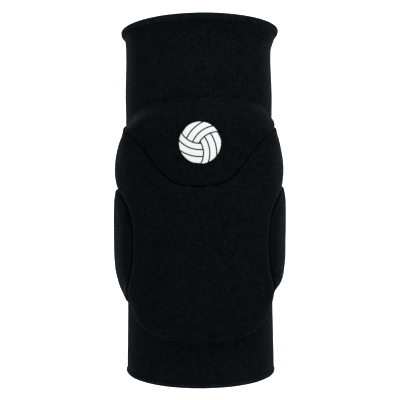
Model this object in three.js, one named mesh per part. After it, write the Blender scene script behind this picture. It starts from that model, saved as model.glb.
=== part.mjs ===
// Volleyball knee pad in its worn form: a knitted tube for the leg with a rolled hem at each end,
// four foam pads in knitted covers over its front and sides, and a round printed mark on the upper pad.
// Millimetres. +Z is up the leg, -Y is the front of the knee and +X is to the right seen from the front.
// The origin is on the axis of the leg, halfway up the sleeve.
import * as THREE from "three";
import { mergeVertices } from "three/addons/utils/BufferGeometryUtils.js";

// Sleeve: an oval knitted tube
const SLEEVE_HEIGHT = 249; // rim to rim, hems included
const THIGH_WIDTH = 107.6; // outside, side to side, below the upper rim's flare
const THIGH_DEPTH = 111.5; // outside, front to back
const CALF_WIDTH = 106.2;
const CALF_DEPTH = 112.4;
const THIGH_OFFSET = -1.3; // how far the leg's axis lies to the side at the upper rim
const CALF_OFFSET = 0.5;
const KNIT_WALL = 2.2;
const TOP_FLARE = 2.6; // how far the knit opens where it meets the upper hem
const TOP_FLARE_HEIGHT = 13; // hem included
const TOP_FLARE_SKEW = 0.4; // share by which it opens more on one side and less on the other
const TOP_TILT = 0.7; // the upper rim is that much higher on the right and lower on the left
const FOOT_FLARE = 0.9;
const FOOT_FLARE_HEIGHT = 26;
const HOLLOW_DEPTH = 2.5; // the shallow hollow behind the knee
const HOLLOW_HEIGHT = 150;

// Hems: the knit rolled over on itself and sewn down
const TOP_HEM_HEIGHT = 4.8;
const TOP_HEM_THICKNESS = 4.2;
const FOOT_HEM_HEIGHT = 3.4;
const FOOT_HEM_THICKNESS = 3.2;

// Clearances between neighbouring pieces
const HEM_GAP = 0.3;
const SEAT_GAP = 0.45; // a pad's back to the sleeve
const SEAM_GAP = 0.8; // edge to edge where two pads meet
const PRINT_GAP = 0.4;

// Pads: a reach is a turn round the leg from the front, in degrees
const UPPER_PAD_THICKNESS = 13.5;
const UPPER_PAD_REACH = 86; // its pointed corners
const UPPER_PAD_TOP = 70.5; // heights are from the origin
const CORNER_HEIGHT = 55; // where the upper pad's corners lie
const SEAM_LOW = 8; // lowest point of the seam under the upper pad
const MAIN_PAD_THICKNESS = 14;
const SHOULDER_REACH = 112; // the main pad's wings beside the upper pad
const WAIST_REACH = { left: 47.4, right: 49.8 }; // the main pad between the side pads
const MAIN_PAD_FOOT = -95;
const SIDE_PAD_THICKNESS = 9.2;
const SIDE_PAD_REACH = 121; // its rear edge
const SIDE_PAD_TOP = 11;
const SIDE_PAD_FOOT = { left: -75, right: -70 };
const FLANK_THINNING = 0.4; // share of a front pad's thickness that is lost a quarter turn round

// Pad edges: the width over which a pad comes down to its outline
const SEAM_EDGE = 6; // where two pads meet
const FOOT_EDGE = 11; // along the foot of the main pad
const CORNER_EDGE = 16; // at its lower corners
const CREST_EDGE = 22; // along the top of the upper pad, which thins out gently
const WING_EDGE = 34; // along the free edge of the wings
const REAR_EDGE = 25; // along the free edge of the side pads
const FIRM = 0.5; // how an edge comes down: as a quarter of a circle, or more gently
const SOFT = 1.4;
const RIM_THICKNESS = 0.9; // the cover's two layers at the outline

// Printed mark on the upper pad
const PRINT_DIAMETER = 27;
const PRINT_THICKNESS = 0.5;
const PRINT_HEIGHT = 37; // its middle above the origin

// Facets
const SLEEVE_SIDES = 56;
const HEM_SIDES = 10;
const MAIN_PAD_COLUMNS = 18;
const PRINT_SIDES = 24;
const FACET_LENGTH = 8.2;
const OUTLINE_STEPS = 48;

const KNIT_BLACK = 0x0e1214;
const KNIT_ROUGHNESS = 0.95;
const PRINT_WHITE = 0xf4f4f2;
const PRINT_ROUGHNESS = 0.6;

// Outlines: each row is a point, turn a share of a reach and rise a share of the way up between two levels.
// The seam under the upper pad, middle to corner: UPPER_PAD_REACH, SEAM_LOW up to CORNER_HEIGHT
const SEAM_ROWS = [
  { turn: 0.0, rise: 0.0 },
  { turn: 0.116, rise: 0.03 },
  { turn: 0.198, rise: 0.083 },
  { turn: 0.262, rise: 0.18 },
  { turn: 0.331, rise: 0.394 },
  { turn: 0.43, rise: 0.606 },
  { turn: 0.541, rise: 0.745 },
  { turn: 0.674, rise: 0.87 },
  { turn: 0.814, rise: 0.955 },
  { turn: 1.0, rise: 1.0 },
];
// The top of the upper pad, corner to middle: UPPER_PAD_REACH, CORNER_HEIGHT up to UPPER_PAD_TOP
const CREST_ROWS = [
  { turn: 1.0, rise: 0.16 },
  { turn: 0.895, rise: 0.17 },
  { turn: 0.8, rise: 0.21 },
  { turn: 0.7, rise: 0.36 },
  { turn: 0.58, rise: 0.6 },
  { turn: 0.44, rise: 0.82 },
  { turn: 0.28, rise: 0.95 },
  { turn: 0.14, rise: 0.99 },
  { turn: 0.0, rise: 1.0 },
];
// The foot of the main pad, middle to corner: WAIST_REACH, MAIN_PAD_FOOT up to SIDE_PAD_TOP
const FOOT_ROWS = [
  { turn: 0.0, rise: 0.0 },
  { turn: 0.31, rise: 0.005 },
  { turn: 0.58, rise: 0.022 },
  { turn: 0.83, rise: 0.06 },
  { turn: 1.04, rise: 0.112 },
  { turn: 1.21, rise: 0.168 },
];
// The main pad's lower corner: the same reach and levels. From here on, middle is how high the same row of
// the pad runs at the front, as a share of the way from MAIN_PAD_FOOT up to SEAM_LOW.
const CORNER_ROWS = [
  { turn: 1.21, rise: 0.168, middle: 0.0 },
  { turn: 1.36, rise: 0.21, middle: 0.05 },
];
// The seam between the main pad and a side pad, from its lower end: the same reach and levels
const FLANK_ROWS = [
  { turn: 1.36, rise: 0.21, middle: 0.05 },
  { turn: 1.24, rise: 0.265, middle: 0.12 },
  { turn: 1.14, rise: 0.335, middle: 0.21 },
  { turn: 1.06, rise: 0.425, middle: 0.31 },
  { turn: 1.01, rise: 0.515, middle: 0.395 },
  { turn: 1.0, rise: 0.615, middle: 0.485 },
  { turn: 1.01, rise: 0.7, middle: 0.555 },
  { turn: 1.05, rise: 0.78, middle: 0.615 },
  { turn: 1.15, rise: 0.858, middle: 0.69 },
  { turn: 1.31, rise: 0.917, middle: 0.777 },
  { turn: 1.57, rise: 0.965, middle: 0.854 },
  { turn: 1.84, rise: 0.985, middle: 0.893 },
  { turn: 2.08, rise: 1.0, middle: 0.915 },
];
// The wing's free edge, from that seam to the upper pad's corner: SHOULDER_REACH, 0 up to CORNER_HEIGHT
const WING_ROWS = [
  { turn: 0.965, rise: 0.335, middle: 0.935 },
  { turn: 1.0, rise: 0.53, middle: 0.96 },
  { turn: 0.95, rise: 0.76, middle: 0.98 },
  { turn: 0.86, rise: 0.91, middle: 0.993 },
];
// A side pad's free edge, from the seam's lower end: SIDE_PAD_REACH, SIDE_PAD_FOOT up to SIDE_PAD_TOP
const REAR_ROWS = [
  { turn: 0.64, rise: 0.005 },
  { turn: 0.74, rise: 0.02 },
  { turn: 0.84, rise: 0.1 },
  { turn: 0.93, rise: 0.25 },
  { turn: 0.985, rise: 0.42 },
  { turn: 1.0, rise: 0.6 },
  { turn: 0.985, rise: 0.77 },
  { turn: 0.93, rise: 0.92 },
];

const { degToRad, lerp, clamp, smoothstep } = THREE.MathUtils;
const SLEEVE_TOP = SLEEVE_HEIGHT / 2;
const SLEEVE_FOOT = -SLEEVE_HEIGHT / 2;
const MEAN_RADIUS = (THIGH_WIDTH + THIGH_DEPTH + CALF_WIDTH + CALF_DEPTH) / 8;

// A point on the knit's outside, or that far out from it, for a turn in radians and a height
function onSleeve(turn, z, out) {
  const up = (z - SLEEVE_FOOT) / SLEEVE_HEIGHT;
  const opening = clamp((z - SLEEVE_TOP + TOP_FLARE_HEIGHT) / TOP_FLARE_HEIGHT, 0, 1);
  const footing = clamp((SLEEVE_FOOT + FOOT_FLARE_HEIGHT - z) / FOOT_FLARE_HEIGHT, 0, 1);
  const topFlare = TOP_FLARE * opening ** 2 * (1 + TOP_FLARE_SKEW * Math.sin(turn));
  const flare = topFlare + FOOT_FLARE * footing ** 2;
  const width = lerp(CALF_WIDTH, THIGH_WIDTH, up) / 2 + flare;
  const depth = lerp(CALF_DEPTH, THIGH_DEPTH, up) / 2 + flare;
  const level = 1 - smoothstep(Math.abs(z), 0, HOLLOW_HEIGHT / 2);
  const behind = Math.max(0, -Math.cos(turn)) ** 2;
  const tilt = TOP_TILT * opening * Math.sin(turn);
  const normal = new THREE.Vector2(depth * Math.sin(turn), -width * Math.cos(turn)).normalize();
  const x = width * Math.sin(turn) + lerp(CALF_OFFSET, THIGH_OFFSET, up);
  const y = -depth * Math.cos(turn) - HOLLOW_DEPTH * level * behind;
  return new THREE.Vector3(x + out * normal.x, y + out * normal.y, z + tilt);
}

// Two facets for four corners in order, cut along the shorter diagonal
function pushQuad(index, points, a, b, c, d) {
  const first = points[a].distanceTo(points[c]) < points[b].distanceTo(points[d]);
  index.push(...(first ? [a, b, c, a, c, d] : [a, b, d, b, c, d]));
}

function solidOf(points, index) {
  const geometry = new THREE.BufferGeometry().setFromPoints(points).setIndex(index);
  const merged = mergeVertices(geometry, 1e-4);
  merged.computeVertexNormals();
  return merged;
}

// A closed ring round the leg with one section all the way, its points going up the outside
function ringSolid(section) {
  const points = [];
  for (let i = 0; i < SLEEVE_SIDES; i++) {
    const turn = (2 * Math.PI * i) / SLEEVE_SIDES;
    for (const { z, out } of section) points.push(onSleeve(turn, z, out));
  }
  const at = (i, j) => (i % SLEEVE_SIDES) * section.length + (j % section.length);
  const index = [];
  for (let i = 0; i < SLEEVE_SIDES; i++) {
    for (let j = 0; j < section.length; j++) {
      pushQuad(index, points, at(i, j), at(i + 1, j), at(i + 1, j + 1), at(i, j + 1));
    }
  }
  return solidOf(points, index);
}

function sleeveGeometry() {
  const low = SLEEVE_FOOT + FOOT_HEM_HEIGHT + HEM_GAP;
  const high = SLEEVE_TOP - TOP_HEM_HEIGHT - HEM_GAP;
  const footEnd = SLEEVE_FOOT + FOOT_FLARE_HEIGHT;
  const topStart = SLEEVE_TOP - TOP_FLARE_HEIGHT;
  const hollow = [-1 / 2, -1 / 4, 0, 1 / 4, 1 / 2].map((share) => share * HOLLOW_HEIGHT);
  const levels = [low, (low + footEnd) / 2, footEnd, ...hollow, topStart, (topStart + high) / 2, high];
  const outside = levels.map((z) => ({ z, out: 0 }));
  const inside = levels.map((z) => ({ z, out: -KNIT_WALL })).reverse();
  return ringSolid([...outside, ...inside]);
}

// A rolled hem, flush with the knit's inside and standing proud outside
function hemGeometry(foot, height, thickness) {
  const section = [];
  for (let k = 0; k < HEM_SIDES; k++) {
    const angle = (2 * Math.PI * (k + 0.5)) / HEM_SIDES;
    const z = foot + (height / 2) * (1 + flattened(Math.sin(angle)));
    const out = (thickness / 2) * (1 + flattened(Math.cos(angle))) - KNIT_WALL;
    section.push({ z, out });
  }
  return ringSolid(section);
}

// A sine or cosine that is squared off a little, for a roll that has been pressed flat
function flattened(value) {
  return Math.sign(value) * Math.abs(value) ** 0.75;
}

// Outlines are worked out on the sleeve laid flat: x is the length round the leg from the front and y the
// height. z, where a row has one, is how high the row runs at the front.
function flatPoints(rows, reach, low, high) {
  return rows.map(({ turn, rise, middle = 0 }) => {
    const around = MEAN_RADIUS * degToRad(turn * reach);
    return new THREE.Vector3(around, lerp(low, high, rise), lerp(MAIN_PAD_FOOT, SEAM_LOW, middle));
  });
}

function smoothLine(points) {
  const curve = new THREE.CatmullRomCurve3(points, false, "centripetal");
  return curve.getPoints(OUTLINE_STEPS);
}

const mirrored = (line) => line.map((point) => new THREE.Vector3(-point.x, point.y, point.z));
const reversed = (line) => [...line].reverse();
const SEAM = smoothLine(flatPoints(SEAM_ROWS, UPPER_PAD_REACH, SEAM_LOW, CORNER_HEIGHT));
const CREST = smoothLine(flatPoints(CREST_ROWS, UPPER_PAD_REACH, CORNER_HEIGHT, UPPER_PAD_TOP));

// The lines that bound the pads on one side of the knee, as if on the right
function sideLines(side) {
  const waist = WAIST_REACH[side];
  const foot = smoothLine(flatPoints(FOOT_ROWS, waist, MAIN_PAD_FOOT, SIDE_PAD_TOP));
  const corner = smoothLine(flatPoints(CORNER_ROWS, waist, MAIN_PAD_FOOT, SIDE_PAD_TOP));
  const flankRows = flatPoints(FLANK_ROWS, waist, MAIN_PAD_FOOT, SIDE_PAD_TOP);
  const flank = smoothLine(flankRows);
  const wingRows = flatPoints(WING_ROWS, SHOULDER_REACH, 0, CORNER_HEIGHT);
  const wingTip = SEAM.at(-1).clone().setZ(SEAM_LOW);
  const wing = smoothLine([flankRows.at(-1), ...wingRows, wingTip]);
  const rearRows = flatPoints(REAR_ROWS, SIDE_PAD_REACH, SIDE_PAD_FOOT[side], SIDE_PAD_TOP);
  const rear = smoothLine([flankRows[0], ...rearRows, flankRows.at(-1)]);
  return { foot, corner, flank, wing, rear };
}

const SIDES = { left: sideLines("left"), right: sideLines("right") };

// The nearest point of a line to a flat point, and how far away it is
function nearestOn(line, point) {
  let best = { distance: Infinity };
  const segment = new THREE.Line3();
  const found = new THREE.Vector3();
  const flat = new THREE.Vector3(point.x, point.y, 0);
  for (let i = 0; i + 1 < line.length; i++) {
    segment.start.set(line[i].x, line[i].y, 0);
    segment.end.set(line[i + 1].x, line[i + 1].y, 0);
    segment.closestPointToPoint(flat, true, found);
    const distance = found.distanceTo(flat);
    if (distance < best.distance) best = { distance, along: segment.delta(new THREE.Vector3()) };
  }
  return best;
}

// How much of its full thickness a pad has at a flat point: it rounds down to every edge
function fullness(edges, point) {
  return edges.reduce((share, { line, width, bend }) => {
    const inward = clamp(nearestOn(line, point).distance / width, 0, 1);
    return share * (1 - (1 - inward) ** 2) ** bend;
  }, 1);
}

// Moves a point on the outline, or near it, inwards by half of the gap that parts two pads.
// The edges run anticlockwise round the pad.
function insetFromSeam(edges, point) {
  const nearest = edges.map(({ line }) => nearestOn(line, point)).sort((a, b) => a.distance - b.distance);
  const inset = new THREE.Vector3();
  for (const { distance, along } of nearest.slice(0, 2)) {
    const fade = clamp(1 - distance / SEAM_EDGE, 0, 1) ** 3;
    inset.addScaledVector(new THREE.Vector3(-along.y, along.x, 0).normalize(), (fade * SEAM_GAP) / 2);
  }
  return inset.add(point);
}

// A pad's front and back at a flat point
function padPoints(pad, point) {
  const moved = insetFromSeam(pad.edges, point);
  const turn = moved.x / MEAN_RADIUS;
  const thinning = pad.thinning * smoothstep(Math.abs(turn), 0, Math.PI / 2);
  const swell = (pad.thickness * (1 - thinning) - RIM_THICKNESS) * fullness(pad.edges, point);
  const front = onSleeve(turn, moved.y, SEAT_GAP + RIM_THICKNESS + swell);
  return { front, back: onSleeve(turn, moved.y, SEAT_GAP) };
}

// Shares from 0 to 1 along a length, closer together at both ends where the edges round down
function gridShares(length, firstEdge, lastEdge, count = Math.ceil(length / FACET_LENGTH)) {
  const lines = [0, 0.12, 0.4, 0.8];
  const first = lines.map((share) => (share * firstEdge) / length);
  const last = lines.map((share) => 1 - (share * lastEdge) / length).reverse();
  const step = (last[0] - first.at(-1)) / (count + 1);
  const between = Array.from({ length: count }, (_, k) => first.at(-1) + (k + 1) * step);
  return [...first, ...between, ...last];
}

// A pad from rows of flat points, each row as long as the next
function gridSolid(rows, place) {
  const pairs = rows.flat().map(place);
  const points = [...pairs.map((pair) => pair.front), ...pairs.map((pair) => pair.back)];
  const columns = rows[0].length;
  const at = (j, i) => j * columns + i;
  const under = (j, i) => pairs.length + at(j, i);
  const index = [];
  for (let j = 0; j + 1 < rows.length; j++) {
    for (let i = 0; i + 1 < columns; i++) {
      pushQuad(index, points, at(j, i), at(j, i + 1), at(j + 1, i + 1), at(j + 1, i));
      pushQuad(index, points, under(j, i), under(j + 1, i), under(j + 1, i + 1), under(j, i + 1));
    }
  }
  const rim = [];
  for (let i = 0; i + 1 < columns; i++) rim.push([0, i]);
  for (let j = 0; j + 1 < rows.length; j++) rim.push([j, columns - 1]);
  for (let i = columns - 1; i > 0; i--) rim.push([rows.length - 1, i]);
  for (let j = rows.length - 1; j > 0; j--) rim.push([j, 0]);
  rim.forEach((here, k) => {
    const next = rim[(k + 1) % rim.length];
    pushQuad(index, points, at(...next), at(...here), under(...here), under(...next));
  });
  return solidOf(points, index);
}

// A pad or disc from its flat outline, which runs anticlockwise, and the shares of the way in to its middle
function ringedSolid(outline, middle, shares, place) {
  const rings = shares.map((share) => outline.map((point) => point.clone().lerp(middle, share)));
  const pairs = [...rings.flat(), middle].map(place);
  const points = [...pairs.map((pair) => pair.front), ...pairs.map((pair) => pair.back)];
  const sides = outline.length;
  const at = (j, i) => j * sides + (i % sides);
  const under = (j, i) => pairs.length + at(j, i);
  const top = pairs.length - 1;
  const index = [];
  for (let i = 0; i < sides; i++) {
    pushQuad(index, points, at(0, i + 1), at(0, i), under(0, i), under(0, i + 1));
    for (let j = 0; j + 1 < shares.length; j++) {
      pushQuad(index, points, at(j, i), at(j, i + 1), at(j + 1, i + 1), at(j + 1, i));
      pushQuad(index, points, under(j, i), under(j + 1, i), under(j + 1, i + 1), under(j, i + 1));
    }
    index.push(at(shares.length - 1, i), at(shares.length - 1, i + 1), top);
    index.push(under(shares.length - 1, i + 1), under(shares.length - 1, i), pairs.length + top);
  }
  return solidOf(points, index);
}

// How far along a line each of its points lies
function lengthsAlong(line) {
  const reached = [0];
  for (let i = 1; i < line.length; i++) {
    reached.push(reached[i - 1] + Math.hypot(line[i].x - line[i - 1].x, line[i].y - line[i - 1].y));
  }
  return reached;
}

const lengthOf = (line) => lengthsAlong(line).at(-1);

// Points at shares of a line's length, with any third value carried along
function evenPoints(line, shares) {
  const reached = lengthsAlong(line);
  return shares.map((share) => {
    const length = share * reached.at(-1);
    const next = clamp(reached.findIndex((value) => value >= length), 1, line.length - 1);
    const step = (length - reached[next - 1]) / (reached[next] - reached[next - 1]);
    return line[next - 1].clone().lerp(line[next], step);
  });
}

// The height of a line at a length round the leg, for a line that runs outwards from the middle
function heightAt(line, around) {
  const inner = line.filter((point) => point.x < around).length;
  const next = clamp(inner, 1, line.length - 1);
  const share = clamp((around - line[next - 1].x) / (line[next].x - line[next - 1].x), 0, 1);
  return lerp(line[next - 1].y, line[next].y, share);
}

// How far up such a line has come, for a share of its length round the leg
function riseShare(line, share) {
  return (heightAt(line, share * line.at(-1).x) - line[0].y) / (line.at(-1).y - line[0].y);
}

const crestOutwards = reversed(CREST);
const fullSeam = [...reversed(mirrored(SEAM)), ...SEAM.slice(1)];
const fullCrest = [...CREST, ...mirrored(crestOutwards).slice(1)];
const upperEnd = [SEAM.at(-1), CREST[0]];
const UPPER_PAD = {
  thickness: UPPER_PAD_THICKNESS,
  thinning: FLANK_THINNING,
  edges: [
    { line: fullSeam, width: SEAM_EDGE, bend: FIRM },
    { line: upperEnd, width: CREST_EDGE, bend: SOFT },
    { line: fullCrest, width: CREST_EDGE, bend: SOFT },
    { line: reversed(mirrored(upperEnd)), width: CREST_EDGE, bend: SOFT },
  ],
};

function upperPadGeometry() {
  const reach = SEAM.at(-1).x;
  const across = gridShares(2 * reach, SEAM_EDGE, SEAM_EDGE).map((share) => lerp(-reach, reach, share));
  const up = gridShares(UPPER_PAD_TOP - SEAM_LOW, SEAM_EDGE, CREST_EDGE);
  const rows = up.map((share) =>
    across.map((x) => {
      const low = heightAt(SEAM, Math.abs(x));
      const high = heightAt(crestOutwards, Math.abs(x));
      return new THREE.Vector3(x, lerp(low, high, share), 0);
    }),
  );
  return gridSolid(rows, (point) => padPoints(UPPER_PAD, point));
}

// The main pad's rows bend from the line of its foot to the line of the seam under the upper pad
function mainPadGeometry() {
  const { left, right } = SIDES;
  const edges = [
    { line: [...reversed(mirrored(left.foot)), ...right.foot.slice(1)], width: FOOT_EDGE, bend: FIRM },
    { line: right.corner, width: CORNER_EDGE, bend: SOFT },
    { line: right.flank, width: SEAM_EDGE, bend: FIRM },
    { line: right.wing, width: WING_EDGE, bend: SOFT },
    { line: reversed(fullSeam), width: SEAM_EDGE, bend: FIRM },
    { line: reversed(mirrored(left.wing)), width: WING_EDGE, bend: SOFT },
    { line: reversed(mirrored(left.flank)), width: SEAM_EDGE, bend: FIRM },
    { line: reversed(mirrored(left.corner)), width: CORNER_EDGE, bend: SOFT },
  ];
  const pad = { edges, thickness: MAIN_PAD_THICKNESS, thinning: FLANK_THINNING };
  const sideEdge = ({ corner, flank, wing }) => [...corner, ...flank.slice(1), ...wing.slice(1)];
  const up = gridShares(lengthOf(sideEdge(right)), FOOT_EDGE, SEAM_EDGE);
  const leftEnds = evenPoints(mirrored(sideEdge(left)), up);
  const rightEnds = evenPoints(sideEdge(right), up);
  const rows = up.map((_, j) => {
    const from = leftEnds[j];
    const to = rightEnds[j];
    const middle = (from.z + to.z) / 2;
    const bend = (middle - MAIN_PAD_FOOT) / (SEAM_LOW - MAIN_PAD_FOOT);
    return gridShares(to.x - from.x, SEAM_EDGE, SEAM_EDGE, MAIN_PAD_COLUMNS).map((share) => {
      const x = lerp(from.x, to.x, share);
      const end = x < 0 ? from : to;
      const foot = x < 0 ? left.foot : right.foot;
      const out = x / end.x;
      const rise = lerp(riseShare(foot, out), riseShare(SEAM, out), bend);
      return new THREE.Vector3(x, lerp(middle, end.y, rise), 0);
    });
  });
  return gridSolid(rows, (point) => padPoints(pad, point));
}

function sidePadGeometry(side) {
  const { flank, rear } = SIDES[side];
  const rightEdges = [
    { line: rear, width: REAR_EDGE, bend: SOFT },
    { line: reversed(flank), width: SEAM_EDGE, bend: FIRM },
  ];
  const leftEdges = rightEdges.map((edge) => ({ ...edge, line: reversed(mirrored(edge.line)) })).reverse();
  const edges = side === "left" ? leftEdges : rightEdges;
  const pad = { edges, thickness: SIDE_PAD_THICKNESS, thinning: 0 };
  const outline = edges.flatMap(({ line }) => {
    const count = Math.ceil(lengthOf(line) / FACET_LENGTH);
    return evenPoints(line, Array.from({ length: count }, (_, k) => k / count));
  });
  const middle = new THREE.Box3().setFromPoints(outline).getCenter(new THREE.Vector3());
  const reach = Math.abs(middle.x) - flank[OUTLINE_STEPS / 2].x;
  const shares = [0, 0.12, 0.45, 1].map((share) => (share * SEAM_EDGE) / reach);
  return ringedSolid(outline, middle, [...shares, 0.38, 0.6, 0.8], (point) => padPoints(pad, point));
}

// The printed mark lies on the front of the upper pad
function printGeometry() {
  const around = ((PRINT_DIAMETER / 2) * MEAN_RADIUS) / (MEAN_RADIUS + UPPER_PAD_THICKNESS);
  const outline = Array.from({ length: PRINT_SIDES }, (_, k) => {
    const angle = (2 * Math.PI * k) / PRINT_SIDES;
    const z = PRINT_HEIGHT + (PRINT_DIAMETER / 2) * Math.sin(angle);
    return new THREE.Vector3(around * Math.cos(angle), z, 0);
  });
  return ringedSolid(outline, new THREE.Vector3(0, PRINT_HEIGHT, 0), [0, 0.35, 0.7], (point) => {
    const { front } = padPoints(UPPER_PAD, point);
    const outwards = front.clone().sub(onSleeve(point.x / MEAN_RADIUS, point.y, 0)).normalize();
    const back = front.clone().addScaledVector(outwards, PRINT_GAP);
    return { front: back.clone().addScaledVector(outwards, PRINT_THICKNESS), back };
  });
}

const knit = new THREE.MeshStandardMaterial({ color: KNIT_BLACK, roughness: KNIT_ROUGHNESS, metalness: 0 });
const print = knit.clone();
print.color.set(PRINT_WHITE);
print.roughness = PRINT_ROUGHNESS;

const kneePad = new THREE.Group();

function addPiece(name, geometry, material) {
  const mesh = new THREE.Mesh(geometry, material);
  mesh.name = name;
  kneePad.add(mesh);
}

addPiece("sleeve", sleeveGeometry(), knit);
addPiece("top_hem", hemGeometry(SLEEVE_TOP - TOP_HEM_HEIGHT, TOP_HEM_HEIGHT, TOP_HEM_THICKNESS), knit);
addPiece("bottom_hem", hemGeometry(SLEEVE_FOOT, FOOT_HEM_HEIGHT, FOOT_HEM_THICKNESS), knit);
addPiece("upper_pad", upperPadGeometry(), knit);
addPiece("main_pad", mainPadGeometry(), knit);
addPiece("left_side_pad", sidePadGeometry("left"), knit);
addPiece("right_side_pad", sidePadGeometry("right"), knit);
addPiece("print_disc", printGeometry(), print);

export default kneePad;
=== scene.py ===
# Volleyball knee pad in its worn form: a black knitted sleeve, four foam pads in knitted covers,
# a rolled hem at each rim, sewing stitches and a plain white ball printed on the upper pad.
# Metres, in the frame of the CAD model: +Z is up the leg and -Y is the front of the knee.
import math

import bmesh
import bpy
import numpy as np
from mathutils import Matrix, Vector, noise
from mathutils.bvhtree import BVHTree


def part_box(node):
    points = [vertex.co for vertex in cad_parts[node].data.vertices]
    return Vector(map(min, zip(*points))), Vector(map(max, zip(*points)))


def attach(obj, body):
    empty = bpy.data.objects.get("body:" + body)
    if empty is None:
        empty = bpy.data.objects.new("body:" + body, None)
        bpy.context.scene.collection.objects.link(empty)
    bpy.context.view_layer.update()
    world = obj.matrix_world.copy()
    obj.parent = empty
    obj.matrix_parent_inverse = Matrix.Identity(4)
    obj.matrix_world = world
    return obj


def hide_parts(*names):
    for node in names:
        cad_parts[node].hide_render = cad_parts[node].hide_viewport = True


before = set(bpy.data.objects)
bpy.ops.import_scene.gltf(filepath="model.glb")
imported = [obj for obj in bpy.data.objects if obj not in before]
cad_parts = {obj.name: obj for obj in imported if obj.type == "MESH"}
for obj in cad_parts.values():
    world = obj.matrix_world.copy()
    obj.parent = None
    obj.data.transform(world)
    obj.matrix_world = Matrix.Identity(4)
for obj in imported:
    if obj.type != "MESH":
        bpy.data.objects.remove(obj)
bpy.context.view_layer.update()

MM = 0.001

# Knit
COURSE = 1.45 * MM  # one row of loops up the leg, as coarse as the photograph shows it
SLEEVE_WALES = 250  # columns of loops round the leg
PAD_WALES = 310
HEM_WALES = 230
YARN_BUMP = 0.24 * MM
WANDER_SCALE = 90.0  # per metre, so the rows wander over about 11 mm
PATCH_SCALE = 45.0  # per metre, so the dye varies over about 22 mm
PATCHES_SHOW = 0.35  # how much the dye varies from patch to patch
LOOPS_SHOW = 0.6  # and from loop to loop
LOOP_SLANT = 0.9  # how many rows a loop's legs climb from its foot to its sides
SHEEN = 0.06

# Pads
SWELL_FRAMES = 12
SWELL_CAP = 1.3 * MM  # the foam keeps the cover from swelling further
HELD_WITHIN = 1.7 * MM  # cover this near to the sleeve is sewn to it
PAD_EASE = 0.8 * MM  # the cover stands off the foam
EASE_RISE = 6 * MM  # and does so in full this far off the sleeve
RIPPLE = 0.22 * MM  # how uneven the foam lies under the cover
RIPPLE_LENGTH = 26 * MM
PRESS_REACH = 9 * MM  # pads nearer than this press on each other
PRESS_FULL = 3.2 * MM  # and fully so when nearer than this
EDGE_BEND = 0.6  # how much fuller the foam is at a groove than the CAD pad
EDGE_CELL = 4 * MM  # the foam's full height is looked for within two of these
CREST_FLAT = 9 * MM  # the upper pad rises slowly from its sewn edge over this
CREST_SOFT = 6 * MM  # and over this much more at its left-hand end
CREST_LEAST = 0.25  # share of its height that it keeps at the sewn edge
CREST_FIRM = 0.6  # and how much more of it at its right-hand end
SOFT_FROM, SOFT_OVER = 15 * MM, 20 * MM  # where the left-hand end begins, left of the middle
FIRM_FROM, FIRM_OVER = 35 * MM, 15 * MM  # and the right-hand end, right of it
RISE_FROM, RISE_OVER = 50 * MM, 7 * MM  # the upper pad's top edge begins at this height
CORNER_FLAT = 24 * MM  # the main pad rises this slowly from its two upper corners
CORNER_LEAST = 0.25
CORNER_TURN = 86  # degrees from the front
CORNER_HEIGHT = 56 * MM
RIGHT_PAD_LIFT = 2.6 * MM  # the right side pad is sewn on a little higher
LIFT_FROM, LIFT_OVER = -55 * MM, 40 * MM
RIGHT_PAD_TURN = 1.3 * MM  # and its top a little further back
TURN_FROM, TURN_OVER = -25 * MM, 25 * MM

# Sleeve and hems
# How far the cloth stands off the CAD sleeve: height in mm, distance in mm
SLEEVE_EASE = [(-100, 0.7), (-80, 0.4), (60, 0.5), (78, 0.8), (90, 0.3), (98, -0.1), (108, -0.1)]
SLEEVE_RIPPLE = 0.25 * MM
SLEEVE_RIPPLE_LENGTH = 40 * MM
SLEEVE_REACH = 53 * MM  # half the sleeve's width
RIM_TUCK = 1.8 * MM  # how far the sleeve runs into its hems
RIM_FROM, RIM_OVER = 112 * MM, 6 * MM  # heights, up and down
FLARE_EASE = 1.3 * MM  # how much wider the sleeve opens below its upper hem
FLARE_SKEW = 0.8 * MM  # and how much more so on the right
FLARE_FROM, FLARE_OVER = 110 * MM, 8 * MM
HEM_FOLDS = 96  # fine gathers round the upper hem
HEM_GATHER = 0.12 * MM
HEM_RIPPLE = 0.25 * MM
HEM_RIPPLE_LENGTH = 18 * MM
HEM_REACH = 57 * MM  # half the upper hem's width
HEM_EASE = 0.35 * MM  # how much wider the upper hem opens than the CAD hem
HEM_SKEW = 0.15 * MM  # and how much more so on the right
HEM_DROP = 0.1 * MM  # how much lower it lies
HEM_SAG = 0.3 * MM  # and how much more so on the left
SAG_OVER = 50 * MM
BOTTOM_RIPPLE = 0.2 * MM
BOTTOM_DROP = 1.0 * MM  # how much lower the lower hem hangs than the CAD hem
BOTTOM_SAG = 0.2 * MM

# Stitching
STITCH_PITCH = 2.8 * MM
HEM_STITCH_PITCH = 3.0 * MM
STITCH_LENGTH = 2.0 * MM
THREAD = 0.7 * MM
STITCH_SINK = 0.08 * MM  # how deep the thread lies in the knit
HEM_STITCH_SINK = 0.1 * MM
HEM_STITCH_GAP = 1.1  # mm from the hem to its stitches
PUCKER_DEPTH = 0.55 * MM
PUCKER_WIDTH = 1.6 * MM
PUCKER_BEAT = 0.4  # share of the dip that comes and goes from stitch to stitch
PUCKER_HEIGHT, PUCKER_ROOM = 63 * MM, 20 * MM  # the sewn line lies within this of that height
SEAM_CORE = 0.3 * MM  # half the width of the sewn line's dark middle
SEAM_EDGE = 1.0 * MM  # and of the whole line
# How much darker the sewn line is painted: its needle holes, and painted shade in the channel between the two
# layers of cloth
SEAM_PAINTED_SHADE = 0.35
SEAM_SINKS = 1.2  # in heights of a loop

LEG_RADIUS = 55.5 * MM  # at which the cloth is laid flat
VIEW_DISTANCE = 535 * MM  # from the camera to the axis of the leg

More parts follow.
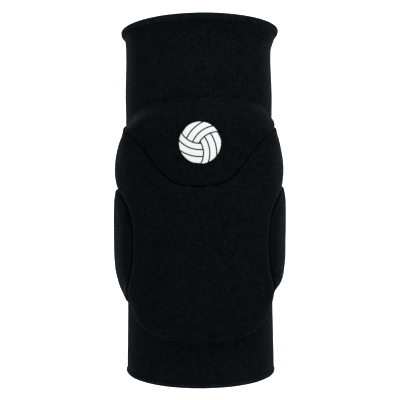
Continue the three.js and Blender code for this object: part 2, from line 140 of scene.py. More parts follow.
# Printed ball
BALL_DIAMETER = 27 * MM
BALL_HEIGHT = 37 * MM
INK = 0.12 * MM  # how thick the film is
INK_LIFT = 0.1 * MM  # and how far off the knit it begins
PANEL_GAP = 0.9 * MM
GAP_BLUR = 0.06 * MM

# The sewn line along the top of the upper pad: turn from the front in degrees, height in mm
CREST = [(-86, 57.0), (-77, 57.1), (-69, 57.7), (-60, 59.7), (-50, 63.3), (-38, 66.7), (-24, 68.5)]
CREST += [(-12, 69.1), (0, 69.3), (12, 69.3), (24, 69.0), (38, 68.2), (48, 66.6), (56, 64.0)]
CREST += [(64, 61.0), (72, 59.6), (86, 59.6)]
CREST_TOP = 75  # mm, above the whole line
CREST_STEPS = 12  # from one of these points to the next
# How much higher the upper pad reaches than the CAD pad: turn in degrees, distance in mm
CREST_RISE = [(-69, 0), (-60, 0.3), (-50, 0.8), (-38, 1.0), (-24, 0.4), (-12, 0)]
CREST_RISE += [(12, 0.3), (24, 0.9), (38, 2.4), (48, 3.5), (56, 3.6), (64, 2.6), (72, 2.6), (86, 3.2)]
# How far the pads reach to the sides, seen from the front: height, reach left, reach right, in mm
OUTLINE = [(-72.8, 56.2, 53.7), (-69.8, 57.7, 53.8), (-66.9, 58.9, 57.1), (-63.9, 60.1, 59.4)]
OUTLINE += [(-60.9, 61.0, 61.2), (-56.5, 62.3, 62.3), (-50.5, 63.3, 63.0), (-43.1, 63.9, 63.7)]
OUTLINE += [(-31.2, 64.2, 63.8), (-19.3, 64.3, 64.0), (-8.9, 64.3, 64.0), (-1.5, 64.1, 64.0)]
OUTLINE += [(3.7, 63.8, 63.7), (6.7, 62.9, 63.2), (12.6, 62.5, 61.3), (17.8, 63.5, 62.2)]
OUTLINE += [(23.8, 63.6, 62.3), (29.7, 63.1, 61.9), (35.7, 62.2, 61.0), (40.1, 61.3, 60.2)]
OUTLINE += [(44.6, 59.7, 59.2), (47.6, 58.0, 58.4), (50.5, 57.1, 57.3), (53.5, 56.2, 56.0)]
OUTLINE += [(56.5, 56.1, 55.1)]
SIDE_FROM, SIDE_OVER = 0.9, 0.35  # the sides begin this far round from the front, in radians
SIDE_LEAST = 30 * MM  # and reach at least this far
THINNEST, FULLEST = 0.3, 1.35  # limits to how much thinner or fuller a side is made
BAND_STEP, BAND_HALF = 2, 1.5  # mm between the heights looked at, and half of what is looked at there
BAND_FADE = 8  # mm below the lowest of them, over which a side goes back to what it was
BLEND = [0.1, 0.22, 0.36, 0.22, 0.1]  # evens out what is made thinner or fuller, height by height


def linear(hex_colour):
    """An sRGB hex colour as linear red, green, blue and alpha."""
    values = [int(hex_colour[i : i + 2], 16) / 255 for i in (1, 3, 5)]
    return [v / 12.92 if v <= 0.04045 else ((v + 0.055) / 1.055) ** 2.4 for v in values] + [1.0]


def add(tree, kind, settings=(), **inputs):
    """Adds a node, sets its options, and sets or links its inputs.
    i0 is input 0, and in a name _ stands for a space."""
    made = tree.nodes.new("ShaderNode" + kind)
    for key, value in dict(settings).items():
        setattr(made, key, value)
    for key, value in inputs.items():
        numbered = key[0] == "i" and key[1:].isdigit()
        socket = made.inputs[int(key[1:]) if numbered else key.replace("_", " ")]
        if isinstance(value, bpy.types.NodeSocket):
            tree.links.new(value, socket)
        else:
            socket.default_value = value
    return made


def new_material(name, **shader):
    """A material with its surface shader set, and the two parts of it that are built on."""
    material = bpy.data.materials.new(name)
    material.use_nodes = True
    tree = material.node_tree
    tree.nodes.clear()
    surface = add(tree, "BsdfPrincipled", **shader)
    add(tree, "OutputMaterial", Surface=surface.outputs["BSDF"])
    return material, tree, surface


def sewn_line(tree, turn, height):
    """How deep a point lies in the upper pad's sewn line: 1 in its middle, least between two stitches."""
    share = add(tree, "Math", {"operation": "MULTIPLY_ADD"}, i0=turn, i1=1 / math.pi, i2=0.5)
    crest = add(tree, "FloatCurve", Value=share.outputs[0])
    points = crest.mapping.curves[0].points
    spots = [(angle / 180 + 0.5, high / CREST_TOP) for angle, high in CREST]
    points[0].location = spots[0]
    points[1].location = spots[-1]
    for spot in spots[1:-1]:
        points.new(*spot)
    crest.mapping.update()
    off = add(tree, "Math", {"operation": "MULTIPLY_ADD"}, i0=crest.outputs[0], i1=-CREST_TOP * MM, i2=height)
    off = add(tree, "Math", {"operation": "ABSOLUTE"}, i0=off.outputs[0])
    line = add(
        tree,
        "MapRange",
        {"interpolation_type": "SMOOTHSTEP"},
        i0=off.outputs[0],
        From_Min=SEAM_CORE,
        From_Max=SEAM_EDGE,
        To_Min=1.0,
        To_Max=0.0,
    )
    beat = add(tree, "Math", {"operation": "MULTIPLY"}, i0=turn, i1=2 * math.pi * LEG_RADIUS / STITCH_PITCH)
    beat = add(tree, "Math", {"operation": "COSINE"}, i0=beat.outputs[0])
    beat = add(tree, "MapRange", i0=beat.outputs[0], From_Min=-1.0, From_Max=1.0, To_Min=0.1, To_Max=1.0)
    # The line ends where the upper pad does
    ends = add(tree, "Math", {"operation": "COMPARE"}, i0=share.outputs[0], i1=0.5, i2=CREST[-1][0] / 180)
    beat = add(tree, "Math", {"operation": "MULTIPLY"}, i0=beat.outputs[0], i1=ends.outputs[0])
    return add(tree, "Math", {"operation": "MULTIPLY"}, i0=line.outputs[0], i1=beat.outputs[0]).outputs[0]


def black_knit(name, wales, dark, light, rib=0.0, sewn=True):
    """Nylon and elastane jersey, circular knitted and dyed black: rows of small V-shaped loops, matt, with a
    fine bloom of loose fibre that catches the light where the cloth turns away."""
    material, tree, surface = new_material(
        name,
        Roughness=0.92,
        Specular_IOR_Level=0.012,
        Sheen_Weight=SHEEN,
        Sheen_Roughness=0.12,
        Sheen_Tint=linear("#a9cdf5"),
    )
    place = add(tree, "TexCoord").outputs["Object"]
    axes = add(tree, "SeparateXYZ", Vector=place).outputs
    back = add(tree, "Math", {"operation": "MULTIPLY"}, i0=axes["Y"], i1=-1.0)
    turn = add(tree, "Math", {"operation": "ARCTAN2"}, i0=axes["X"], i1=back.outputs[0])
    # The yarn is a little uneven, so that the rows wander
    wander = add(tree, "TexNoise", Vector=place, Scale=WANDER_SCALE, Detail=2.0, Roughness=0.5)
    wander = add(tree, "Math", {"operation": "MULTIPLY"}, i0=wander.outputs["Fac"], i1=0.5)
    column = add(tree, "Math", {"operation": "MULTIPLY"}, i0=turn.outputs[0], i1=wales / (2 * math.pi))
    across = add(tree, "Math", {"operation": "FRACT"}, i0=column.outputs[0])
    side = add(tree, "Math", {"operation": "SUBTRACT"}, i0=across.outputs[0], i1=0.5)
    side = add(tree, "Math", {"operation": "ABSOLUTE"}, i0=side.outputs[0])
    row = add(tree, "Math", {"operation": "MULTIPLY_ADD"}, i0=axes["Z"], i1=1 / COURSE, i2=wander.outputs[0])
    row = add(tree, "Math", {"operation": "MULTIPLY_ADD"}, i0=side.outputs[0], i1=LOOP_SLANT, i2=row.outputs[0])
    along = add(tree, "Math", {"operation": "MULTIPLY"}, i0=row.outputs[0], i1=2 * math.pi)
    loop = add(tree, "Math", {"operation": "SINE"}, i0=along.outputs[0])
    loop = add(tree, "MapRange", i0=loop.outputs[0], From_Min=-1.0, From_Max=1.0)
    # The loops sink towards the groove between two columns
    groove = add(
        tree,
        "MapRange",
        {"interpolation_type": "SMOOTHSTEP"},
        i0=side.outputs[0],
        From_Min=0.22,
        From_Max=0.5,
        To_Min=1.0,
        To_Max=0.3 - rib,
    )
    height = add(tree, "Math", {"operation": "MULTIPLY"}, i0=loop.outputs[0], i1=groove.outputs[0])
    # Each loop takes the dye and stands up a little differently
    column_number = add(tree, "Math", {"operation": "FLOOR"}, i0=column.outputs[0])
    row_number = add(tree, "Math", {"operation": "FLOOR"}, i0=row.outputs[0])
    cell = add(tree, "CombineXYZ", X=column_number.outputs[0], Y=row_number.outputs[0])
    each = add(tree, "TexWhiteNoise", {"noise_dimensions": "2D"}, Vector=cell.outputs[0])
    patches = add(tree, "TexNoise", Vector=place, Scale=PATCH_SCALE, Detail=4.0, Roughness=0.6)
    weighed = {"operation": "MULTIPLY_ADD"}
    # The colour follows the loops' height: painted shade, darker in the hollow of each row and in the groove
    # between two columns, on top of the bump
    shade = add(tree, "Math", weighed, i0=patches.outputs["Fac"], i1=PATCHES_SHOW, i2=height.outputs[0])
    shade = add(tree, "Math", weighed, i0=each.outputs["Value"], i1=LOOPS_SHOW, i2=shade.outputs[0])
    shade = add(tree, "MapRange", i0=shade.outputs[0], From_Min=0.2, From_Max=1.75)
    if sewn:
        seam = sewn_line(tree, turn.outputs[0], axes["Z"])
        # The sewn line is painted darker: its needle holes, and painted shade in its channel
        shade = add(tree, "Math", weighed, i0=seam, i1=-SEAM_PAINTED_SHADE, i2=shade.outputs[0])
        height = add(tree, "Math", weighed, i0=seam, i1=-SEAM_SINKS, i2=height.outputs[0])
    dyes_with_painted_shade = {"i6": linear(dark), "i7": linear(light)}
    colour = add(tree, "Mix", {"data_type": "RGBA"}, Factor=shade.outputs[0], **dyes_with_painted_shade)
    tree.links.new(colour.outputs[2], surface.inputs["Base Color"])
    bump = add(tree, "Bump", Strength=0.75, Distance=YARN_BUMP, Height=height.outputs[0])
    tree.links.new(bump.outputs["Normal"], surface.inputs["Normal"])
    return material


def sewing_thread():
    """Spun polyester thread, twisted: fine slanting plies with a faint shine."""
    material, tree, surface = new_material("spun_polyester_thread", Roughness=0.7, Specular_IOR_Level=0.02)
    place = add(tree, "TexCoord").outputs["Object"]
    plies = add(tree, "TexWave", {"bands_direction": "DIAGONAL"}, Vector=place, Scale=900.0, Distortion=1.0)
    # The plies are painted darker between them, on the same wave as the bump: painted shade
    dyes_with_painted_shade = {"i6": linear("#080b0d"), "i7": linear("#171c20")}
    colour = add(tree, "Mix", {"data_type": "RGBA"}, Factor=plies.outputs["Fac"], **dyes_with_painted_shade)
    tree.links.new(colour.outputs[2], surface.inputs["Base Color"])
    bump = add(tree, "Bump", Strength=0.5, Distance=0.1 * MM, Height=plies.outputs["Fac"])
    tree.links.new(bump.outputs["Normal"], surface.inputs["Normal"])
    return material


KNIT_SLEEVE = black_knit("black_jersey_circular_knit", SLEEVE_WALES, "#020405", "#171d20")
KNIT_PAD = black_knit("black_jersey_pad_cover", PAD_WALES, "#020405", "#151a1d")
# The hems are painted lighter than the sleeve: painted light, as the upper hem's rounded top catches it from
# above; the lower hem shares the colours
KNIT_HEM_PAINTED_LIGHTER = black_knit("black_jersey_rolled_hem_painted_lighter", HEM_WALES, "#05080a", "#20272d", rib=0.2, sewn=False)
THREAD_BLACK = sewing_thread()


def in_scene(name, data):
    """An object of its own for a mesh, a lamp or a camera."""
    made = bpy.data.objects.new(name, data)
    bpy.context.collection.objects.link(made)
    return made


def copy_of(node, name):
    """A merged copy of a CAD node's mesh as an object of its own, in quads where they can be had."""
    mesh = bpy.data.meshes.new(name)
    shape = bmesh.new()
    shape.from_mesh(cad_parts[node].data)
    shape.transform(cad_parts[node].matrix_world)
    bmesh.ops.remove_doubles(shape, verts=shape.verts, dist=0.01 * MM)
    bmesh.ops.join_triangles(
        shape,
        faces=shape.faces,
        angle_face_threshold=math.radians(50),
        angle_shape_threshold=math.radians(70),
    )
    shape.to_mesh(mesh)
    shape.free()
    return in_scene(name, mesh)


def choose(piece):
    bpy.ops.object.select_all(action="DESELECT")
    piece.select_set(True)
    bpy.context.view_layer.objects.active = piece


def subdivide(piece, levels):
    choose(piece)
    finer = piece.modifiers.new("finer", "SUBSURF")
    finer.levels = levels
    finer.render_levels = levels
    bpy.ops.object.modifier_apply(modifier=finer.name)


def places_of(mesh):
    flat = np.empty(len(mesh.vertices) * 3)
    mesh.vertices.foreach_get("co", flat)
    return flat.reshape(-1, 3)


def move_to(mesh, places):
    mesh.vertices.foreach_set("co", np.asarray(places).ravel())
    mesh.update()


def finish_piece(piece, material, slot, *nodes):
    """Gives a piece its material and smooth shading, hangs it under the root, and hides the CAD nodes that it
    stands for. The slot is not used.
    """
    piece.data.materials.clear()
    piece.data.materials.append(material)
    choose(piece)
    bpy.ops.object.shade_smooth()
    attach(piece, "root")
    if nodes:
        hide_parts(*nodes)


def outwards(places):
    """The direction away from the leg's axis at each point."""
    flat = places * [1, 1, 0]
    return flat / np.linalg.norm(flat, axis=1, keepdims=True)


def turn_of(places):
    """How far round the leg each point lies from the front, in radians."""
    return np.arctan2(places[:, 0], -places[:, 1])


def unrolled(places):
    """The points laid flat, as if the cloth were cut open at the back."""
    return np.stack([turn_of(places) * LEG_RADIUS, places[:, 2]], axis=1)


def smooth(share):
    """Eases a share between 0 and 1 at both ends."""
    share = np.clip(share, 0, 1)
    return share * share * (3 - 2 * share)


def unevenness(places, length, seed):
    """A smooth rise and fall between -1 and 1, the same in every run."""
    shift = Vector((seed, 0, 0))
    return np.array([noise.noise(Vector(p) / length + shift) for p in places])


def tree_of(*pieces):
    """The surface of several pieces, to lay stitches and print on."""
    shape = bmesh.new()
    for piece in pieces:
        shape.from_mesh(piece.data)
    tree = BVHTree.FromBMesh(shape)
    shape.free()
    return tree


# Pads: the CAD solid's cover is swollen by cloth pressure against its sewn back, then refined
cad_sleeve = copy_of("sleeve", "sleeve_guide")
sleeve_tree = tree_of(cad_sleeve)


def height_over_sleeve(places):
    """How far each point stands off the CAD sleeve."""
    return np.array([sleeve_tree.find_nearest(Vector(p))[3] for p in places])


def swollen(piece, pressure):
    """Blows the cover up a little against the part of it that is sewn down, up to the foam's limit."""
    places = places_of(piece.data)
    held = piece.vertex_groups.new(name="sewn")
    for index, distance in enumerate(height_over_sleeve(places)):
        held.add([index], 1.0 if distance < HELD_WITHIN else 0.0, "REPLACE")
    choose(piece)
    cloth = piece.modifiers.new("swell", "CLOTH")
    cloth.settings.quality = 5
    cloth.settings.mass = 0.25
    cloth.settings.tension_stiffness = 25
    cloth.settings.compression_stiffness = 25
    cloth.settings.bending_stiffness = 1.5
    cloth.settings.vertex_group_mass = held.name
    cloth.settings.use_pressure = True
    cloth.settings.uniform_pressure_force = pressure
    cloth.settings.effector_weights.gravity = 0
    cloth.collision_settings.use_collision = False
    scene = bpy.context.scene
    for number in range(1, SWELL_FRAMES + 1):
        scene.frame_set(number)
    view = bpy.context.evaluated_depsgraph_get()
    grown = places_of(piece.evaluated_get(view).data)
    moved = grown - places
    length = np.linalg.norm(moved, axis=1, keepdims=True)
    moved *= np.minimum(1, SWELL_CAP / np.maximum(length, 1e-9))
    piece.modifiers.remove(cloth)
    scene.frame_set(1)
    move_to(piece.data, places + moved)


def make_pad(node, name, pressure, seed):
    """One pad from its CAD node: swollen, refined and laid over slightly uneven foam."""
    pad = copy_of(node, name)
    subdivide(pad, 1)
    swollen(pad, pressure)
    subdivide(pad, 1)
    places = places_of(pad.data)
    share = np.clip(height_over_sleeve(places) / EASE_RISE, 0, 1)[:, None]
    ripple = unevenness(places, RIPPLE_LENGTH, seed)[:, None]
    move_to(pad.data, places + outwards(places) * (PAD_EASE + ripple * RIPPLE) * share)
    return pad


def full_height(places, depth):
    """The pad's height a little way in from its edge, from the highest point within two cells."""
    spots = unrolled(places)
    low = spots.min(axis=0)
    where = ((spots - low) / EDGE_CELL).astype(int) + 2
    grid = np.zeros(where.max(axis=0) + 3)
    np.maximum.at(grid, (where[:, 0], where[:, 1]), depth)
    wide = grid.copy()
    for across in range(-2, 3):
        for up in range(-2, 3):
            wide = np.maximum(wide, np.roll(grid, (across, up), axis=(0, 1)))
    return wide[where[:, 0], where[:, 1]]


def pressed(pad, other, closed):
    """Where the cover lies once a neighbour presses on it: full edges, with a thin groove between them.
    The pad fills the given share of its half of the gap."""
    tree = tree_of(other)
    places = places_of(pad.data)
    away = outwards(places)
    depth = height_over_sleeve(places)
    full = full_height(places, depth)
    moved = places.copy()
    for index, place in enumerate(places):
        near, _, _, distance = tree.find_nearest(Vector(place), PRESS_REACH)
        if near is None:
            continue
        way = np.array(near) - place
        way -= away[index] * way.dot(away[index])
        share = smooth((PRESS_REACH - distance) / (PRESS_REACH - PRESS_FULL))
        risen = depth[index]
        if risen > HELD_WITHIN:
            risen = full[index] * (risen / full[index]) ** (1 - EDGE_BEND * share)
        moved[index] += way * 0.5 * closed * share + away[index] * (risen - depth[index])
    return moved


def flattened(pad, kept):
    """The cover comes down to the sleeve near a sewn edge, to the share of its height that is kept."""
    places = places_of(pad.data)
    away = outwards(places)
    depth = height_over_sleeve(places)
    move_to(pad.data, places - away * (depth * (1 - kept(places)))[:, None])


upper_pad = make_pad("upper_pad", "kneecap_pad", pressure=3.0, seed=3)
main_pad = make_pad("main_pad", "shin_pad", pressure=3.0, seed=17)
left_side_pad = make_pad("left_side_pad", "left_flank_pad", pressure=2.0, seed=31)
right_side_pad = make_pad("right_side_pad", "right_flank_pad", pressure=2.0, seed=47)
pads = [upper_pad, main_pad, left_side_pad, right_side_pad]
after = [
    pressed(upper_pad, main_pad, closed=0.85),
    pressed(main_pad, upper_pad, closed=0.75),
    pressed(left_side_pad, main_pad, closed=0.4),
    pressed(right_side_pad, main_pad, closed=0.4),
]
for pad, places in zip(pads, after):
    move_to(pad.data, places)

# Upper pad's sewn edge, as points in degrees and mm, laid flat, and as the length along it
crest_line = []
for (turn_a, high_a), (turn_b, high_b) in zip(CREST, CREST[1:]):
    for step in np.linspace(0, 1, CREST_STEPS, endpoint=False):
        crest_line.append((turn_a + (turn_b - turn_a) * step, high_a + (high_b - high_a) * step))
crest_line.append(CREST[-1])
crest_flat = np.array([(math.radians(turn) * LEG_RADIUS, height * MM) for turn, height in crest_line])
crest_run = np.concatenate([[0], np.cumsum(np.linalg.norm(np.diff(crest_flat, axis=0), axis=1))])


def kept_by_crest(places):
    """Low along the sewn line, but full at its right-hand end, where the pad stands out past the sleeve."""
    gap = np.array([np.linalg.norm(crest_flat - spot, axis=1).min() for spot in unrolled(places)])
    least = CREST_LEAST + CREST_FIRM * smooth((places[:, 0] - FIRM_FROM) / FIRM_OVER)
    reach = CREST_FLAT + CREST_SOFT * smooth((-places[:, 0] - SOFT_FROM) / SOFT_OVER)
    return least + (1 - least) * smooth(gap / reach)


def kept_by_corners(places):
    """Low at the main pad's two upper corners."""
    spots = unrolled(places)
    corner = math.radians(CORNER_TURN) * LEG_RADIUS
    gap = np.hypot(np.abs(spots[:, 0]) - corner, spots[:, 1] - CORNER_HEIGHT)
    return CORNER_LEAST + (1 - CORNER_LEAST) * smooth(gap / CORNER_FLAT)


def fitted(pad, low, high):
    """Makes the pad thinner or fuller at its sides, to reach the outline between two heights in mm."""
    places = places_of(pad.data)
    depth = height_over_sleeve(places)
    off = outwards(places) * depth[:, None]
    nearer = VIEW_DISTANCE / (VIEW_DISTANCE + places[:, 1])
    level = places[:, 2] * nearer / MM
    turned = smooth((np.abs(turn_of(places)) - SIDE_FROM) / SIDE_OVER)
    steps = np.arange(low, high + 1, BAND_STEP)
    heights, left, right = zip(*OUTLINE)
    moved = places.copy()
    for side, reaches in ((-1, left), (1, right)):
        seen = side * places[:, 0] * nearer
        foot = side * (places - off)[:, 0] * nearer
        share = []
        for step in steps:
            band = np.nonzero((np.abs(level - step) < BAND_HALF) & (seen > SIDE_LEAST))[0]
            if len(band) == 0:
                share.append(1)
                continue
            edge = band[seen[band].argmax()]
            reach = np.interp(step, heights, reaches) * MM
            share.append((reach - foot[edge]) / (seen[edge] - foot[edge]))
        share = np.clip(share, THINNEST, FULLEST)
        share = np.convolve(np.pad(share, len(BLEND) // 2, mode="edge"), BLEND, mode="valid")
        kept = np.interp(level, [low - BAND_FADE, *steps], [1, *share])
        here = side * places[:, 0] > 0
        moved[here] += off[here] * ((kept - 1) * turned)[here, None]
    move_to(pad.data, moved)


def raised(pad):
    """The upper pad reaches up to its sewn line."""
    places = places_of(pad.data)
    rise = np.interp(np.degrees(turn_of(places)), *zip(*CREST_RISE)) * MM
    places[:, 2] += rise * smooth((places[:, 2] - RISE_FROM) / RISE_OVER)
    move_to(pad.data, places)


def sewn_higher(pad):
    """The right side pad's upper part sits higher and further back."""
    places = places_of(pad.data)
    turn = turn_of(places)
    turn += RIGHT_PAD_TURN / LEG_RADIUS * smooth((places[:, 2] - TURN_FROM) / TURN_OVER)
    away = np.hypot(places[:, 0], places[:, 1])
    lift = RIGHT_PAD_LIFT * smooth((places[:, 2] - LIFT_FROM) / LIFT_OVER)
    move_to(pad.data, np.stack([away * np.sin(turn), -away * np.cos(turn), places[:, 2] + lift], axis=1))


flattened(upper_pad, kept_by_crest)
raised(upper_pad)
flattened(main_pad, kept_by_corners)
sewn_higher(right_side_pad)
fitted(main_pad, 12, 56)
fitted(left_side_pad, -74, 6)
fitted(right_side_pad, -74, 8)


def pucker(piece):
    """The cover dips along the sewn line, deepest at each stitch."""
    places = places_of(piece.data)
    flat = unrolled(places)
    moved = places.copy()
    away = outwards(places)
    for index in np.nonzero(np.abs(flat[:, 1] - PUCKER_HEIGHT) < PUCKER_ROOM)[0]:
        gaps = np.linalg.norm(crest_flat - flat[index], axis=1)
        nearest = int(gaps.argmin())
        dip = math.exp(-((gaps[nearest] / PUCKER_WIDTH) ** 2))
        beat = 1 - PUCKER_BEAT + PUCKER_BEAT * math.cos(2 * math.pi * crest_run[nearest] / STITCH_PITCH)
        moved[index] -= away[index] * PUCKER_DEPTH * dip * beat
    move_to(piece.data, moved)


for pad, node in zip(pads, ("upper_pad", "main_pad", "left_side_pad", "right_side_pad")):
    finish_piece(pad, KNIT_PAD, "knit", node)

# Sleeve
sleeve = copy_of("sleeve", "knit_sleeve")
subdivide(sleeve, 2)
places = places_of(sleeve.data)
ease = unevenness(places, SLEEVE_RIPPLE_LENGTH, seed=71)[:, None] * SLEEVE_RIPPLE
high = places[:, 2]
ease += np.interp(high / MM, *zip(*SLEEVE_EASE))[:, None] * MM
flare = FLARE_EASE + FLARE_SKEW * places[:, 0] / SLEEVE_REACH
flare *= smooth((high - FLARE_FROM) / FLARE_OVER)
places = places + outwards(places) * (ease + flare[:, None])
# The rims reach into the rolled hems, which are folded over them
near_rim = smooth((np.abs(high) - RIM_FROM) / RIM_OVER)
places[:, 2] += near_rim * np.where(high > 0, RIM_TUCK, -RIM_TUCK - BOTTOM_DROP)
move_to(sleeve.data, places)
finish_piece(sleeve, KNIT_SLEEVE, "knit", "sleeve")

# Hems
top_hem = copy_of("top_hem", "rolled_top_hem")
subdivide(top_hem, 2)
places = places_of(top_hem.data)
gathers = HEM_GATHER * np.cos(turn_of(places) * HEM_FOLDS)[:, None]
gathers += HEM_RIPPLE * unevenness(places, HEM_RIPPLE_LENGTH, seed=5)[:, None]
gathers += (HEM_EASE + HEM_SKEW * places[:, 0] / HEM_REACH)[:, None]
places = places + outwards(places) * gathers
places[:, 2] -= HEM_DROP + HEM_SAG * smooth(-places[:, 0] / SAG_OVER)
move_to(top_hem.data, places)
finish_piece(top_hem, KNIT_HEM_PAINTED_LIGHTER, "hem", "top_hem")

bottom_hem = copy_of("bottom_hem", "rolled_bottom_hem")
subdivide(bottom_hem, 2)
places = places_of(bottom_hem.data)
gathers = BOTTOM_RIPPLE * unevenness(places, HEM_RIPPLE_LENGTH, seed=9)[:, None]
places = places + outwards(places) * gathers
places[:, 2] -= BOTTOM_DROP + BOTTOM_SAG * smooth(-places[:, 0] / SAG_OVER)
move_to(bottom_hem.data, places)
finish_piece(bottom_hem, KNIT_HEM_PAINTED_LIGHTER, "hem", "bottom_hem")

# Stitches
bpy.ops.object.select_all(action="DESELECT")
bpy.ops.mesh.primitive_uv_sphere_add(segments=8, ring_count=6, radius=THREAD / 2)
one_stitch = bpy.context.object
one_stitch.name = "one_stitch"
bpy.ops.object.mode_set(mode="EDIT")
bpy.ops.transform.resize(value=(STITCH_LENGTH / THREAD, 1, 0.8))
bpy.ops.object.mode_set(mode="OBJECT")


def stitch_row(name, tree, line, pitch, sink):
    """Copies of one stitch laid along a line of turns in degrees and heights in mm, sunk into the knit."""
    seats = []
    for turn, height in line:
        angle = math.radians(turn)
        away = Vector((math.sin(angle), -math.cos(angle), 0))
        start = away * 0.1 + Vector((0, 0, height * MM))
        hit, normal, _, _ = tree.ray_cast(start, -away)
        if hit:
            seats.append((hit, normal))
    run = [0.0]
    for (a, _), (b, _) in zip(seats, seats[1:]):
        run.append(run[-1] + (b - a).length)
    row = bmesh.new()
    count = int(run[-1] / pitch)
    for k in range(count):
        reach = (k + 0.5) * run[-1] / count
        i = max(1, int(np.searchsorted(run, reach)))
        share = (reach - run[i - 1]) / (run[i] - run[i - 1])
        centre = seats[i - 1][0].lerp(seats[i][0], share)
        up = seats[i - 1][1].lerp(seats[i][1], share).normalized()
        along = (seats[i][0] - seats[i - 1][0]).normalized()
        across = up.cross(along).normalized()
        up = along.cross(across)
        copy = bmesh.new()
        copy.from_mesh(one_stitch.data)
        for corner in copy.verts:
            spot = corner.co
            corner.co = centre - up * sink + along * spot.x + across * spot.y + up * spot.z
        piece = bpy.data.meshes.new("stitch")
        copy.to_mesh(piece)
        copy.free()
        row.from_mesh(piece)
        bpy.data.meshes.remove(piece)
    mesh = bpy.data.meshes.new(name)
    row.to_mesh(mesh)
    row.free()
    finish_piece(in_scene(name, mesh), THREAD_BLACK, "hem")


pucker(upper_pad)
stitch_row("kneecap_pad_stitches", tree_of(upper_pad, sleeve), crest_line, STITCH_PITCH, STITCH_SINK)
ring = [turn * 3.0 for turn in range(121)]
hem_tree = tree_of(sleeve)
under_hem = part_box("top_hem")[0].z / MM - HEM_STITCH_GAP
hem_line = [(turn, under_hem) for turn in ring]
stitch_row("top_hem_stitches", hem_tree, hem_line, HEM_STITCH_PITCH, HEM_STITCH_SINK)
over_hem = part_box("bottom_hem")[1].z / MM + HEM_STITCH_GAP
foot_line = [(turn, over_hem) for turn in ring]
stitch_row("bottom_hem_stitches", hem_tree, foot_line, HEM_STITCH_PITCH, HEM_STITCH_SINK)
bpy.data.objects.remove(one_stitch)
bpy.data.objects.remove(cad_sleeve)


def transfer_print():
    """Polyurethane transfer film, hot pressed onto the knit: chalky white, with the rows of the knit showing
    through and curved gaps between its parts, as on a ball of nine panels."""
    material, tree, surface = new_material(
        "white_polyurethane_transfer", Roughness=0.55, Specular_IOR_Level=0.3
    )
    place = add(tree, "TexCoord").outputs["Object"]
    centre = add(tree, "Mapping", Vector=place, Location=(0, 0, -BALL_HEIGHT)).outputs[0]
    axes = add(tree, "SeparateXYZ", Vector=centre).outputs
    flat = add(tree, "CombineXYZ", X=axes["X"], Y=axes["Z"]).outputs[0]
    radius = BALL_DIAMETER / 2
    # Three arcs of one circle each run from the middle to the rim, a third of a turn apart
    reach = add(tree, "VectorMath", {"operation": "LENGTH"}, i0=flat)
    reach = add(tree, "Math", {"operation": "MULTIPLY"}, i0=reach.outputs["Value"], i1=0.5 / radius)
    bend = add(tree, "Math", {"operation": "ARCCOSINE"}, i0=reach.outputs[0])
    turn = add(tree, "Math", {"operation": "ARCTAN2"}, i0=axes["Z"], i1=axes["X"])
    turn = add(tree, "Math", {"operation": "SUBTRACT"}, i0=turn.outputs[0], i1=bend.outputs[0])
    turn = add(tree, "Math", {"operation": "MULTIPLY_ADD"}, i0=turn.outputs[0], i1=1.5 / math.pi, i2=-0.75)
    third = add(tree, "Math", {"operation": "FLOOR"}, i0=turn.outputs[0])
    third = add(tree, "Math", {"operation": "MULTIPLY"}, i0=third.outputs[0], i1=-2 * math.pi / 3)
    panel = add(tree, "VectorRotate", {"rotation_type": "Z_AXIS"}, Vector=flat, Angle=third.outputs[0])
    # Two more gaps lie beside each arc, at a third and two thirds of the radius
    away = add(tree, "VectorMath", {"operation": "DISTANCE"}, i0=panel.outputs[0], i1=(0, radius, 0))
    away = add(tree, "Math", {"operation": "SUBTRACT"}, i0=away.outputs["Value"], i1=radius)
    beside = add(tree, "Math", {"operation": "PINGPONG"}, i0=away.outputs[0], i1=radius / 6)
    main = add(tree, "Math", {"operation": "MULTIPLY"}, i0=away.outputs[0], i1=0.5)
    gap = add(tree, "Math", {"operation": "MINIMUM"}, i0=beside.outputs[0], i1=main.outputs[0])
    ends = {"From_Min": PANEL_GAP / 2 - GAP_BLUR, "From_Max": PANEL_GAP / 2 + GAP_BLUR}
    across = add(tree, "MapRange", i0=gap.outputs[0], **ends)
    row_scale = 2 * math.pi / (20 * COURSE)  # a wave texture of scale 1 has a band every 2 pi / 20
    rows = add(tree, "TexWave", {"bands_direction": "Z"}, Vector=place, Scale=row_scale, Distortion=0.6)
    # The film is painted a little darker in the hollows of the knit's rows, on the same wave as its bump:
    # painted shade
    whites_with_painted_shade = {"i6": linear("#f6f7f7"), "i7": linear("#ffffff")}
    film = add(tree, "Mix", {"data_type": "RGBA"}, Factor=rows.outputs["Fac"], **whites_with_painted_shade)
    parts = {"i6": linear("#0c1113"), "i7": film.outputs[2]}
    colour = add(tree, "Mix", {"data_type": "RGBA"}, Factor=across.outputs[0], **parts)
    tree.links.new(colour.outputs[2], surface.inputs["Base Color"])
    bump = add(tree, "Bump", Strength=0.3, Distance=0.1 * MM, Height=rows.outputs["Fac"])
    tree.links.new(bump.outputs["Normal"], surface.inputs["Normal"])
    return material


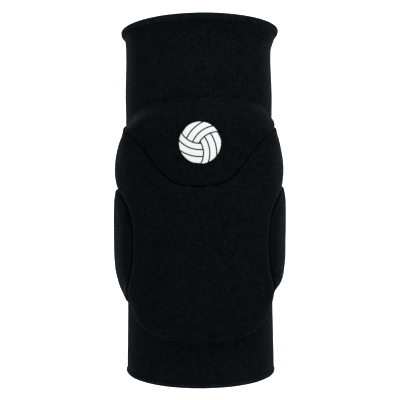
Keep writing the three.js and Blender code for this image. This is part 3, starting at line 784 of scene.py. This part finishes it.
# Print: a flat round sheet pressed onto the front of the upper pad
bpy.ops.object.select_all(action="DESELECT")
upright = (math.pi / 2, 0, 0)
rim = BALL_DIAMETER / 2
bpy.ops.mesh.primitive_circle_add(vertices=64, radius=rim, fill_type="NOTHING", rotation=upright)
ball = bpy.context.object
ball.name = "printed_ball"
bpy.ops.object.transform_apply(location=False, rotation=True, scale=True)
bpy.ops.object.mode_set(mode="EDIT")
bpy.ops.mesh.select_all(action="SELECT")
bpy.ops.mesh.fill_grid(span=16)
bpy.ops.mesh.subdivide(number_cuts=1)
bpy.ops.object.mode_set(mode="OBJECT")
pad_tree = tree_of(upper_pad)
places = places_of(ball.data)
for index, place in enumerate(places):
    start = Vector((place[0], -0.2, place[2] + BALL_HEIGHT))
    hit, normal, _, _ = pad_tree.ray_cast(start, Vector((0, 1, 0)))
    places[index] = hit + normal * INK_LIFT
move_to(ball.data, places)
film = ball.modifiers.new("film", "SOLIDIFY")
film.thickness = INK
film.offset = 1.0
choose(ball)
bpy.ops.object.modifier_apply(modifier=film.name)
bpy.ops.object.mode_set(mode="EDIT")
bpy.ops.mesh.select_all(action="SELECT")
bpy.ops.mesh.normals_make_consistent(inside=False)
bpy.ops.object.mode_set(mode="OBJECT")
finish_piece(ball, transfer_print(), "print", "print_disc")

# Stage: a pale floor well below the pad, and a white sheet lit from behind
bpy.ops.object.select_all(action="DESELECT")
bpy.ops.mesh.primitive_plane_add(size=6, location=(0, 0, -0.42))
floor = bpy.context.object
floor.name = "studio_floor"
paper = new_material("matt_white_paper", Base_Color=linear("#e2e2e2"), Roughness=0.9)
floor.data.materials.append(paper[0])
bpy.ops.mesh.primitive_plane_add(size=1.8, location=(0, 0.9, 0.48), rotation=upright)
backdrop = bpy.context.object
backdrop.name = "lit_backdrop"
acrylic = new_material(
    "backlit_white_acrylic", Roughness=0.5, Emission_Color=(1, 1, 1, 1), Emission_Strength=1.1
)
backdrop.data.materials.append(acrylic[0])

world = bpy.data.worlds.new("pale_studio")
bpy.context.scene.world = world
world.use_nodes = True
background = world.node_tree.nodes["Background"].inputs
background["Color"].default_value = (1, 1, 1, 1)
background["Strength"].default_value = 0.75


def softbox(name, place, target, size, power, colour="#ffffff"):
    """A flat lamp at one place that faces another, with its power in watts."""
    light = bpy.data.lights.new(name, "AREA")
    light.shape = "RECTANGLE"
    light.size, light.size_y = size
    light.energy = power
    light.color = linear(colour)[:3]
    lamp = in_scene(name, light)
    lamp.location = place
    lamp.rotation_euler = (Vector(target) - Vector(place)).to_track_quat("-Z", "Y").to_euler()


softbox("overhead_softbox", (0.3, -0.5, 1.0), (0, 0, 0.02), (0.8, 0.5), 6.0)
for name, across in (("right_strip", 0.52), ("left_strip", -0.52)):
    softbox(name, (across, 0.75, 0.35), (0, 0, 0.08), (0.2, 0.7), 2.4, "#cfe2ff")

scene = bpy.context.scene
scene.view_settings.view_transform = "Standard"
scene.view_settings.look = "None"
camera_data = bpy.data.cameras.new("camera")
camera_data.lens = 64.8
camera_data.sensor_width = 36
camera_data.clip_start = 0.01
camera = in_scene("camera", camera_data)
camera.location = (0, -VIEW_DISTANCE, 0)
camera.rotation_euler = upright
scene.camera = camera
